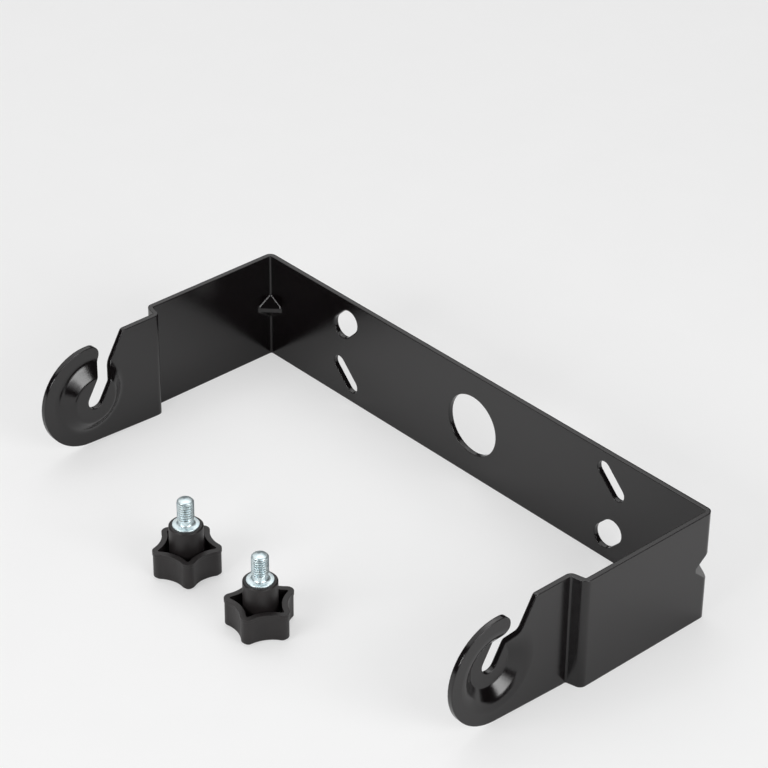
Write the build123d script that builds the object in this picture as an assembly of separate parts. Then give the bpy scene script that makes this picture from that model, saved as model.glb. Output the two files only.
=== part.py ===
import os
from math import atan2, cos, hypot, pi, radians, sin, sqrt, tan

from build123d import *

os.makedirs("parts", exist_ok=True)

# Yoke sheet: one folded blank, wall face of the back plate at y = 0, arms towards -Y
width = 300.0
height = 57.0
sheet = 2.5
corner_bend = 1.0

# Joggle that steps each arm inwards
joggle_start = 78.4
joggle_in = 7.6
joggle_run = 1.8
joggle_bend = 0.8

# Hook end of each arm, in the arm's own plane (distance from the wall face, height)
hook_reach = 123.1
end_radius = 26.7
taper_start = 84.0
nose_radius = 5.0
shoulder_radius = 1.5
slot_width = 9.0
slot_lean = 30.0

# Dish pressed inwards round the hook seat
dish_radius = 18.6
dish_flat = 11.6
dish_depth = 5.1
dish_rim_bend = 7.0
dish_floor_bend = 1.8

# Back plate openings
centre_bore = 32.0
wall_x = 90.5
wall_z = 14.5
wall_lean = 45.0
wall_slot_width = 8.0
wall_slot_length = 21.0
wall_wide_width = 12.3
wall_wide_length = 19.0

# Dart pressed into each corner: reach along the diagonal, heights above the middle line
dart_reach = 5.9
dart_top = 6.3
dart_brow = 1.3
dart_chin = -1.0
dart_foot = -7.1
dart_round = 0.8
dart_crease = 1.3

# Mark that the dart leaves on the outer corner
dart_skin = 3.1
notch_top = 8.5
notch_foot = -9.1

# Star knob, standing head down on the plane the yoke stands on
lobes = 5
lobe_reach = 13.0
lobe_radius = 3.2
valley_reach = 12.0
wall = 2.4
rim_height = 14.5
crown = 3.2
foot_edge = 1.2
lip_height = 1.7
lip_out = 0.25
boss_radius = 8.0
boss_height = 25.4
boss_edge = 0.6
insert_clear = 0.02

# Threaded stud with its flange and buried shank, one turned and rolled piece
stud_radius = 4.0
stud_tip = 38.9
tip_chamfer = 0.8
flange_radius = 6.35
flange_top = 25.95
flange_thick = 1.2
neck_radius = 3.45
neck_height = 2.25
neck_blend = 0.4
foot_radius = 4.5
foot_height = 0.6
hex_flats = 9.0
hex_bottom = 9.0

# Place and turn of each knob as it stands in front of the yoke
knob_places = {"left": (-30.0, -152.4, 35.7), "right": (24.3, -154.2, 6.4)}

floor_z = -height / 2
x_rear = width / 2 - sheet / 2
x_front = x_rear - joggle_in
slot_dir = Vector(-sin(radians(slot_lean)), cos(radians(slot_lean)))
slot_side = Vector(cos(radians(slot_lean)), sin(radians(slot_lean)))
upright = (Align.CENTER, Align.CENTER, Align.MIN)


def yoke_ribbon():
    # Plan line of the middle of the sheet, thickened and raised to the full height
    half = [
        (x_front, -hook_reach - 2 * end_radius),
        (x_front, -joggle_start - joggle_run),
        (x_rear, -joggle_start),
        (x_rear, -sheet / 2),
    ]
    line = half + [(-x, y) for x, y in reversed(half)]
    bends = [joggle_bend, joggle_bend, corner_bend, corner_bend, joggle_bend, joggle_bend]
    path = FilletPolyline(*line, radius=[r + sheet / 2 for r in bends])
    band = trace(path, line_width=sheet)
    return extrude(Pos(0, 0, floor_z) * band, amount=height)


def nearest_corner(shape, spot):
    return min(shape.vertices(), key=lambda v: hypot(v.X - spot.X, v.Y - spot.Y))


def arm_outline():
    # Side view of both arms: straight edges, round end, open hook slot, rounded corners
    low = Vector(taper_start, floor_z)
    centre = Vector(hook_reach, 0)
    gap = centre - low
    turn = gap.rotate(Axis.Z, -90).normalized() * end_radius
    lean = end_radius / gap.length
    touch = centre + turn * sqrt(1 - lean * lean) - gap.normalized() * (end_radius * lean)
    mouth = centre + slot_dir * (height / 2 / slot_dir.Y)
    block = Polyline(
        (-sheet, floor_z),
        (low.X, low.Y),
        (touch.X, touch.Y),
        (centre.X, centre.Y),
        (mouth.X, mouth.Y),
        (-sheet, height / 2),
        close=True,
    )
    shape = make_face(block) + Pos(hook_reach, 0) * Circle(end_radius)
    middle = centre + slot_dir * (height / 2)
    shape -= Pos(middle.X, middle.Y) * Rot(0, 0, slot_lean) * Rectangle(slot_width, height)
    shape -= Pos(hook_reach, 0) * Circle(slot_width / 2)

    half_slot = slot_side * (slot_width / 2)
    nose = centre + half_slot + slot_dir * sqrt(end_radius ** 2 - (slot_width / 2) ** 2)
    shape = fillet(nearest_corner(shape, nose), radius=nose_radius)
    rise = (height / 2 + half_slot.Y) / slot_dir.Y
    shoulder = centre - half_slot + slot_dir * rise
    return fillet(nearest_corner(shape, shoulder), radius=shoulder_radius)


def dish():
    # Constant-thickness dish turned about the hook seat, pushed along local +Y
    slope = atan2(dish_depth, dish_radius - dish_flat)
    rim_lead = dish_rim_bend * tan(slope / 2)
    floor_lead = dish_floor_bend * tan(slope / 2)
    low = sheet / 2
    high = low + dish_depth
    rim = dish_radius + rim_lead
    cone_foot = (dish_radius - rim_lead * cos(slope), low + rim_lead * sin(slope))
    cone_top = (dish_flat + floor_lead * cos(slope), high - floor_lead * sin(slope))
    path = (
        RadiusArc((rim, low), cone_foot, dish_rim_bend)
        + Line(cone_foot, cone_top)
        + RadiusArc(cone_top, (dish_flat - floor_lead, high), -dish_floor_bend)
        + Line((dish_flat - floor_lead, high), (0, high))
    )
    return revolve(trace(path, line_width=sheet), axis=Axis.Y), rim


def corner_bar(side, profile):
    # Long bar across one corner, its profile given by inward distance and height
    across = Plane(
        origin=(side * width / 2, 0, 0), x_dir=(-side, -1, 0), z_dir=(-1, side, 0)
    )
    face = make_face(Polyline(*profile, close=True))
    return extrude(across * face, amount=width / 8, both=True)


def dart_bulge(side):
    # Blunt rib standing in the inner corner, rooted inside the sheet
    inner = sqrt(2) * sheet
    tip = inner + dart_reach
    bar = corner_bar(
        side, [(inner, dart_top), (tip, dart_brow), (tip, dart_chin), (inner, dart_foot)]
    )
    front = bar.edges().filter_by(
        lambda e: dart_chin - 0.01 < e.center().Z < dart_brow + 0.01 and e.length > width / 8
    )
    rib = fillet(front, radius=dart_round)
    span = 2 * (dart_reach + sheet)
    root = sheet / 2
    corner = Pos(side * (width / 2 - root - span / 2), -root - span / 2, 0)
    return rib & corner * Box(span, span, height)


def dart_creases(body):
    # Edges where the two ribs meet the walls and the inner bends
    near = sheet + 0.01
    reach = sheet + 2 * dart_reach

    def beside_rib(edge):
        spot = edge @ 0.5
        x, y = width / 2 - abs(spot.X), -spot.Y
        in_corner = x < reach and y < reach and dart_foot < spot.Z < dart_top
        on_wall = x < near or y < near or hypot(x - near, y - near) < corner_bend
        return in_corner and on_wall

    return body.edges().filter_by(beside_rib)


def dart_notch(side):
    # Matching mark on the outer corner, its faces carried on past the sheet
    tip = sqrt(2) * sheet + dart_reach - dart_skin
    out = -sheet
    spread = (tip - out) / tip
    top = dart_brow + (notch_top - dart_brow) * spread
    foot = dart_chin + (notch_foot - dart_chin) * spread
    return corner_bar(side, [(out, top), (tip, dart_brow), (tip, dart_chin), (out, foot)])


def oblong(length, breadth, x, z, lean):
    # Through slot of the back plate, lean is the angle of its long axis from +X
    flat = Rot(0, 0, lean) * SlotOverall(length, breadth)
    return extrude(Plane.XZ * (Pos(x, z) * flat), amount=2 * sheet, both=True)


def yoke():
    body = yoke_ribbon()
    seat, rim = dish()
    for side in (-1, 1):
        face_x = side * (width / 2 - joggle_in)
        place = Plane(origin=(face_x, -hook_reach, 0), x_dir=(0, side, 0), z_dir=(0, 0, 1))
        middle = Pos(side * x_front, -hook_reach, 0)
        body -= middle * Rot(0, 90, 0) * Cylinder(rim, 2 * sheet)
        body += place.location * seat
    arm_plane = Plane(origin=(0, 0, 0), x_dir=(0, -1, 0), z_dir=(-1, 0, 0))
    body &= extrude(arm_plane * arm_outline(), amount=width, both=True)
    for side in (-1, 1):
        body += dart_bulge(side)
    body = fillet(dart_creases(body), radius=dart_crease)
    for side in (-1, 1):
        body -= dart_notch(side)
    body -= Rot(90, 0, 0) * Cylinder(centre_bore / 2, 4 * sheet)
    for sign in (-1, 1):
        x, z = sign * wall_x, sign * wall_z
        body -= oblong(wall_wide_length, wall_wide_width, x, -z, wall_lean)
        body -= oblong(wall_slot_length, wall_slot_width, x, z, -wall_lean)
    return body


def star(grow):
    # Five-lobed outline from tangent arcs, grown outwards or inwards by an even amount
    step = 2 * pi / lobes
    reach, dip = lobe_reach, valley_reach
    # Radius of the hollow arcs so that they meet the lobe arcs smoothly
    rise = reach ** 2 + dip ** 2 - 2 * reach * dip * cos(step / 2) - lobe_radius ** 2
    hollow = rise / (2 * (lobe_radius - dip + reach * cos(step / 2)))

    def polar(distance, angle):
        return Vector(distance * cos(angle), distance * sin(angle))

    edges = []
    for i in range(lobes):
        here, there = i * step, (i + 1) * step
        lobe = polar(reach, here)
        before = polar(dip + hollow, here - step / 2)
        after = polar(dip + hollow, here + step / 2)
        start = lobe + (before - lobe).normalized() * (lobe_radius + grow)
        end = lobe + (after - lobe).normalized() * (lobe_radius + grow)
        edges.append(ThreePointArc(start, polar(reach + lobe_radius + grow, here), end))
        lobe = polar(reach, there)
        start = lobe + (after - lobe).normalized() * (lobe_radius + grow)
        edges.append(ThreePointArc(end, polar(dip + grow, here + step / 2), start))
    return make_face(Wire(edges))


def knob_head():
    # Hollow moulded star: crown below, thin skirt with a lip, boss in the middle
    head = extrude(star(0), amount=rim_height)
    head = chamfer(head.faces().sort_by(Axis.Z)[0].edges(), length=foot_edge)
    head += extrude(Pos(0, 0, rim_height - lip_height) * star(lip_out), amount=lip_height)
    head -= extrude(Pos(0, 0, crown) * star(-wall), amount=rim_height)
    boss = Cylinder(boss_radius, boss_height - crown / 2, align=upright)
    boss = chamfer(boss.faces().sort_by(Axis.Z)[-1].edges(), length=boss_edge)
    head += Pos(0, 0, crown / 2) * boss
    seat = flange_top - flange_thick
    head -= Pos(0, 0, seat) * Cylinder(
        flange_radius + insert_clear, flange_thick + boss_edge, align=upright
    )
    pocket = RegularPolygon(hex_flats / 2 + insert_clear, 6, major_radius=False)
    floor = hex_bottom - insert_clear
    head -= extrude(Pos(0, 0, floor) * pocket, amount=flange_top - floor)
    return head


def stud():
    # Turned profile above the seat, hexagonal root moulded into the boss below it
    seat = flange_top - flange_thick
    neck_low = flange_top + foot_height
    neck_high = neck_low + neck_height
    line = Polyline(
        (0, seat),
        (flange_radius, seat),
        (flange_radius, flange_top),
        (foot_radius, flange_top),
        (neck_radius, neck_low),
        (neck_radius, neck_high - neck_blend),
        (stud_radius, neck_high),
        (stud_radius, stud_tip - tip_chamfer),
        (stud_radius - tip_chamfer, stud_tip),
        (0, stud_tip),
        close=True,
    )
    root = RegularPolygon(hex_flats / 2, 6, major_radius=False)
    turned = revolve(Plane.XZ * make_face(line), axis=Axis.Z)
    return turned + extrude(Pos(0, 0, hex_bottom) * root, amount=seat - hex_bottom)


export_step(yoke(), "parts/yoke_sheet.step")
for side, (x, y, turn) in knob_places.items():
    spot = Pos(x, y, floor_z) * Rot(0, 0, turn)
    export_step(spot * knob_head(), f"parts/knob_head_{side}.step")
    export_step(spot * stud(), f"parts/knob_stud_{side}.step")
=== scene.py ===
import math

import bpy
from mathutils import Matrix, Vector


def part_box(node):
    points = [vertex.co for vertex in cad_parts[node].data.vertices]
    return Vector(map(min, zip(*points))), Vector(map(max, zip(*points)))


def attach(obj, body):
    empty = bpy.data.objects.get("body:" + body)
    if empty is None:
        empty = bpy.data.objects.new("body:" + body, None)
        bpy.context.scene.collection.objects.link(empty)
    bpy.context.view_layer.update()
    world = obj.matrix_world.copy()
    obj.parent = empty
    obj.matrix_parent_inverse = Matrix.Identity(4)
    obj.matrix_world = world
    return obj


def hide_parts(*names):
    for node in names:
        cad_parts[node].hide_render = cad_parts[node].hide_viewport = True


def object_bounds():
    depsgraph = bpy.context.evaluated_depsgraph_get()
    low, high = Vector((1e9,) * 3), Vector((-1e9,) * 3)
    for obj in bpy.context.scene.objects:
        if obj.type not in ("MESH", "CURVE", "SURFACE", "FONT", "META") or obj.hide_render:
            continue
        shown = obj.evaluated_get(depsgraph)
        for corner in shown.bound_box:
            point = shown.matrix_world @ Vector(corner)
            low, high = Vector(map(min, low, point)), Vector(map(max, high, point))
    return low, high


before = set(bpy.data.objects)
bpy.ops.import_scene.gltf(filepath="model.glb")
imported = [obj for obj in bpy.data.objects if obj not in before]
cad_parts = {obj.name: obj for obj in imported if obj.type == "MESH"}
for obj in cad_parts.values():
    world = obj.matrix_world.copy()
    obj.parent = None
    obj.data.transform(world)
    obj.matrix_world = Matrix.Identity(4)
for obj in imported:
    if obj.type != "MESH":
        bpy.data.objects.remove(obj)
cad_low, cad_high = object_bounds()
scene = bpy.context.scene
floor_z = cad_low.z

# Stud of a knob in millimetres: radii from its axis, heights above the floor
pitch, crest, root = 1.25, 4.0, 3.23
thread_foot, thread_start, stud_tip = 28.75, 28.9, 38.9
tip_chamfer = 0.8
# Shares of one turn that half of the flat crest and each flank take
half_crest, flank = 0.06, 0.40
# The thread rises out of its root from this far below its start, over this length
run_out, run_out_length = 0.35, 0.9
# Flange, neck and the slope down to the thread's root, as radius and height
stud_profile = [
    (0.3, 24.75), (6.15, 24.75), (6.35, 24.95), (6.35, 25.72), (6.28, 25.88),
    (6.12, 25.95), (4.75, 25.95), (4.45, 26.03), (4.05, 26.22), (3.72, 26.48),
    (3.52, 26.80), (3.45, 27.10), (3.45, 28.15), (3.36, 28.40), (3.24, 28.62),
]
points_around, rings_per_turn = 72, 16

# Lamps that all look at the middle of the bracket: name, place, width, height, watts
middle = (0, -0.07, 0)
lamps = [
    ("scrim", (-1.27, 0.16, 1.43), 2.96, 1.75, 14),
    ("scrim_core", (-1.27, 0.16, 1.43), 2.64, 1.75, 12),
    ("right_box", (1.41, -0.10, 0.66), 1.35, 0.90, 5.8),
    ("right_core", (1.40, 0.0, 0.68), 0.90, 0.65, 8),
    ("front_box", (0.0, -1.37, 0.70), 0.9, 0.42, 10),
    ("top_scrim", (-0.20, 0.50, 1.85), 1.9, 1.8, 11),
]
world_strength = 0.05

# Floor: half its side, its drop below the part, and how much of it each kind of ray sees as white
floor_reach, floor_drop = 6.0, 0.00005
camera_white, glossy_white = 0.5, 0.12


# Camera fitted to the photograph, with its place in millimetres of the row frame
def make_camera():
    yaw, pitch_down, roll = (math.radians(a) for a in (47.51236, 32.65980, 0.65513))
    place_mm = Vector((814.3675, -805.3509, 755.2897))
    focal_pixels, photo_pixels, sensor_mm = 2885.796, 768, 36.0
    back = Vector((
        math.sin(yaw) * math.cos(pitch_down),
        -math.cos(yaw) * math.cos(pitch_down),
        math.sin(pitch_down),
    ))
    right = (-back).cross(Vector((0, 0, 1))).normalized()
    up = right.cross(-back)
    side = math.cos(roll) * right + math.sin(roll) * up
    top = -math.sin(roll) * right + math.cos(roll) * up
    data = bpy.data.cameras.new("camera")
    data.sensor_width = sensor_mm
    data.lens = sensor_mm * focal_pixels / photo_pixels
    data.clip_start, data.clip_end = 0.05, 30.0
    camera = bpy.data.objects.new("camera", data)
    place = Matrix((side, top, back)).transposed().to_4x4()
    place.translation = place_mm / 1000
    camera.matrix_world = place
    scene.collection.objects.link(camera)
    scene.camera = camera


# Node helpers
def new_material(name):
    material = bpy.data.materials.new(name)
    material.use_nodes = True
    nodes = material.node_tree.nodes
    nodes.clear()
    out = nodes.new("ShaderNodeOutputMaterial")
    shader = nodes.new("ShaderNodeBsdfPrincipled")
    material.node_tree.links.new(shader.outputs["BSDF"], out.inputs["Surface"])
    return material, shader


def noise(tree, scale, detail, rough):
    coords = tree.nodes.new("ShaderNodeTexCoord")
    node = tree.nodes.new("ShaderNodeTexNoise")
    node.inputs["Scale"].default_value = scale
    node.inputs["Detail"].default_value = detail
    node.inputs["Roughness"].default_value = rough
    tree.links.new(coords.outputs["Object"], node.inputs["Vector"])
    return node.outputs["Fac"]


def ramp(tree, value, low, high, colour_low, colour_high):
    node = tree.nodes.new("ShaderNodeValToRGB")
    node.color_ramp.elements[0].position = low
    node.color_ramp.elements[0].color = (*colour_low, 1)
    node.color_ramp.elements[1].position = high
    node.color_ramp.elements[1].color = (*colour_high, 1)
    tree.links.new(value, node.inputs["Fac"])
    return node.outputs["Color"]


# Roughness that follows the usual range of a noise
def spread(tree, value, low, high):
    node = tree.nodes.new("ShaderNodeMapRange")
    node.inputs["From Min"].default_value = 0.3
    node.inputs["From Max"].default_value = 0.7
    node.inputs["To Min"].default_value = low
    node.inputs["To Max"].default_value = high
    tree.links.new(value, node.inputs["Value"])
    return node.outputs["Result"]


def bump(tree, value, strength, distance, normal=None):
    node = tree.nodes.new("ShaderNodeBump")
    node.inputs["Strength"].default_value = strength
    node.inputs["Distance"].default_value = distance
    tree.links.new(value, node.inputs["Height"])
    if normal is not None:
        tree.links.new(normal, node.inputs["Normal"])
    return node.outputs["Normal"]


def soft_edges(tree, radius):
    node = tree.nodes.new("ShaderNodeBevel")
    node.samples = 6
    node.inputs["Radius"].default_value = radius
    return node.outputs["Normal"]


# Charcoal satin powder coat: fine orange peel, faint cloudiness, thin bright edges
def powder_coat():
    material, shader = new_material("powder_coat")
    tree = material.node_tree
    peel = noise(tree, scale=2600, detail=3.0, rough=0.55)
    cloud = noise(tree, scale=45, detail=3.0, rough=0.6)
    dark, pale = (0.0014, 0.0005, 0.0008), (0.0024, 0.0010, 0.0014)
    tree.links.new(ramp(tree, cloud, 0.3, 0.7, dark, pale), shader.inputs["Base Color"])
    tree.links.new(spread(tree, cloud, 0.13, 0.16), shader.inputs["Roughness"])
    edges = soft_edges(tree, radius=0.0009)
    skin = bump(tree, peel, strength=0.6, distance=0.00004, normal=edges)
    tree.links.new(skin, shader.inputs["Normal"])
    shader.inputs["IOR"].default_value = 1.6
    return material


# Moulded black plastic: very fine grain
def knob_plastic():
    material, shader = new_material("knob_plastic")
    tree = material.node_tree
    grain = noise(tree, scale=3800, detail=2.0, rough=0.6)
    cloud = noise(tree, scale=160, detail=2.0, rough=0.5)
    dark, pale = (0.0110, 0.0090, 0.0092), (0.0150, 0.0125, 0.0125)
    tree.links.new(ramp(tree, cloud, 0.3, 0.7, dark, pale), shader.inputs["Base Color"])
    tree.links.new(spread(tree, cloud, 0.40, 0.48), shader.inputs["Roughness"])
    edges = soft_edges(tree, radius=0.0003)
    skin = bump(tree, grain, strength=0.3, distance=0.00003, normal=edges)
    tree.links.new(skin, shader.inputs["Normal"])
    return material


# Zinc with a faint blue passivation, and painted shade that darkens the roots of the thread
def zinc_plate():
    material, shader = new_material("zinc_plate")
    tree = material.node_tree
    grain = noise(tree, scale=5200, detail=3.0, rough=0.6)
    cloud = noise(tree, scale=420, detail=2.0, rough=0.5)
    plate = ramp(tree, cloud, 0.3, 0.7, (0.75, 0.89, 0.94), (0.88, 0.98, 0.99))
    groove = tree.nodes.new("ShaderNodeAttribute")
    groove.attribute_name = "groove"
    # Painted shade: the base colour goes towards near black in the deepest part of the thread's
    # roots
    painted_root_shade = ramp(tree, groove.outputs["Fac"], 0.6, 0.88, (1.0, 1.0, 1.0), (0.04, 0.06, 0.06))
    colour = tree.nodes.new("ShaderNodeMix")
    colour.data_type, colour.blend_type = "RGBA", "MULTIPLY"
    colour.inputs["Factor"].default_value = 1.0
    tree.links.new(plate, colour.inputs["A"])
    tree.links.new(painted_root_shade, colour.inputs["B"])
    tree.links.new(colour.outputs["Result"], shader.inputs["Base Color"])
    tree.links.new(spread(tree, cloud, 0.34, 0.42), shader.inputs["Roughness"])
    shader.inputs["Metallic"].default_value = 1.0
    skin = bump(tree, grain, strength=0.2, distance=0.00002)
    tree.links.new(skin, shader.inputs["Normal"])
    return material


# Radius of the thread at a count of turns: flat crest, two flanks, flat root
def thread_radius(turns):
    phase = turns % 1.0
    if phase < half_crest or phase > 1 - half_crest:
        return crest
    if phase < half_crest + flank:
        return crest + (root - crest) * (phase - half_crest) / flank
    if phase > 1 - half_crest - flank:
        return crest + (root - crest) * (1 - half_crest - phase) / flank
    return root


# Rolled stud with its flange: helical thread, necked shank, chamfered tip
def stud_mesh(name, x, y):
    mm = 0.001
    verts, faces, depths = [], [], []

    # One closed row of points, each with its depth in the thread from 0 to 1
    def ring(radius_at, z):
        row = len(verts)
        for i in range(points_around):
            t = 2 * math.pi * i / points_around
            r = radius_at(i, z)
            verts.append((x + r * mm * math.cos(t), y + r * mm * math.sin(t), floor_z + z * mm))
            threaded = thread_start <= z <= stud_tip - tip_chamfer
            depths.append((crest - r) / (crest - root) if threaded else 0.0)
        return row

    def threaded_radius(i, z):
        turns = (z - thread_start) / pitch - i / points_around
        fade = min(1.0, max(0.0, (z - (thread_start - run_out)) / run_out_length))
        r = root + (thread_radius(turns) - root) * fade
        return min(r, crest - tip_chamfer + (stud_tip - z))

    rows = [ring(lambda i, z, r=r: r, h) for r, h in stud_profile]
    steps = int((stud_tip - thread_start) / pitch * rings_per_turn)
    for k in range(steps + 1):
        rows.append(ring(threaded_radius, thread_foot + (stud_tip - thread_foot) * k / steps))
    for a, b in zip(rows, rows[1:]):
        for i in range(points_around):
            j = (i + 1) % points_around
            faces.append((a + i, a + j, b + j, b + i))
    low, high = rows[0], rows[-1]
    faces.append(tuple(low + i for i in reversed(range(points_around))))
    top = len(verts)
    verts.append((x, y, floor_z + stud_tip * mm))
    depths.append(0.0)
    for i in range(points_around):
        faces.append((high + i, high + (i + 1) % points_around, top))
    mesh = bpy.data.meshes.new(name)
    mesh.from_pydata(verts, [], faces)
    mesh.update()
    # Depth in the thread, which the zinc material uses as the mask for painted shade in the roots
    mesh.attributes.new("groove", "FLOAT", "POINT").data.foreach_set("value", depths)
    for poly in mesh.polygons:
        poly.use_smooth = True
    return mesh


def make_studs(material):
    for side in ("left", "right"):
        low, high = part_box(f"knob_stud_{side}")
        centre = (low + high) / 2
        mesh = stud_mesh(f"stud_thread_{side}", centre.x, centre.y)
        piece = bpy.data.objects.new(f"threaded_stud_{side}", mesh)
        scene.collection.objects.link(piece)
        mesh.materials.append(material)
        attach(piece, "root")
        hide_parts(f"knob_stud_{side}")


def dress(node, material):
    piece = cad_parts[node]
    piece.data.materials.clear()
    piece.data.materials.append(material)


# Plain pale paper that keeps the shadow and looks white to the camera
def floor_paper():
    material = bpy.data.materials.new("floor_paper")
    material.use_nodes = True
    tree = material.node_tree
    tree.nodes.clear()
    out = tree.nodes.new("ShaderNodeOutputMaterial")
    paper = tree.nodes.new("ShaderNodeBsdfDiffuse")
    grain = noise(tree, scale=30, detail=3.0, rough=0.5)
    grey = ramp(tree, grain, 0.2, 0.8, (0.84, 0.84, 0.84), (0.86, 0.86, 0.86))
    tree.links.new(grey, paper.inputs["Color"])
    white = tree.nodes.new("ShaderNodeEmission")
    white.inputs["Color"].default_value = (1, 1, 1, 1)
    path = tree.nodes.new("ShaderNodeLightPath")
    glossy = tree.nodes.new("ShaderNodeMath")
    glossy.operation = "MULTIPLY"
    glossy.inputs[1].default_value = glossy_white
    tree.links.new(path.outputs["Is Glossy Ray"], glossy.inputs[0])
    share = tree.nodes.new("ShaderNodeMath")
    share.operation = "MULTIPLY_ADD"
    share.inputs[1].default_value = camera_white
    tree.links.new(path.outputs["Is Camera Ray"], share.inputs[0])
    tree.links.new(glossy.outputs[0], share.inputs[2])
    mix = tree.nodes.new("ShaderNodeMixShader")
    tree.links.new(share.outputs[0], mix.inputs["Fac"])
    tree.links.new(paper.outputs["BSDF"], mix.inputs[1])
    tree.links.new(white.outputs["Emission"], mix.inputs[2])
    tree.links.new(mix.outputs["Shader"], out.inputs["Surface"])
    return material


def make_floor():
    mesh = bpy.data.meshes.new("floor")
    r, z = floor_reach, floor_z - floor_drop
    mesh.from_pydata([(-r, -r, z), (r, -r, z), (r, r, z), (-r, r, z)], [], [(0, 1, 2, 3)])
    floor = bpy.data.objects.new("floor", mesh)
    scene.collection.objects.link(floor)
    mesh.materials.append(floor_paper())


def area_light(name, spot, width, height, watts):
    data = bpy.data.lights.new(name, "AREA")
    data.shape = "RECTANGLE"
    data.size, data.size_y = width, height
    data.energy = watts
    lamp = bpy.data.objects.new(name, data)
    lamp.location = spot
    lamp.rotation_mode = "QUATERNION"
    lamp.rotation_quaternion = (Vector(middle) - Vector(spot)).to_track_quat("-Z", "Y")
    scene.collection.objects.link(lamp)


# Plain soft studio light: a faint white world and large lamps
def make_light():
    world = bpy.data.worlds.new("studio")
    scene.world = world
    world.use_nodes = True
    background = world.node_tree.nodes["Background"]
    background.inputs["Color"].default_value = (1, 1, 1, 1)
    background.inputs["Strength"].default_value = world_strength
    for lamp in lamps:
        area_light(*lamp)


make_camera()
steel, plastic, zinc = powder_coat(), knob_plastic(), zinc_plate()
dress("yoke_sheet", steel)
for side in ("left", "right"):
    dress(f"knob_head_{side}", plastic)
    dress(f"knob_stud_{side}", zinc)
make_studs(zinc)
make_floor()
make_light()
scene.view_settings.view_transform = "Standard"
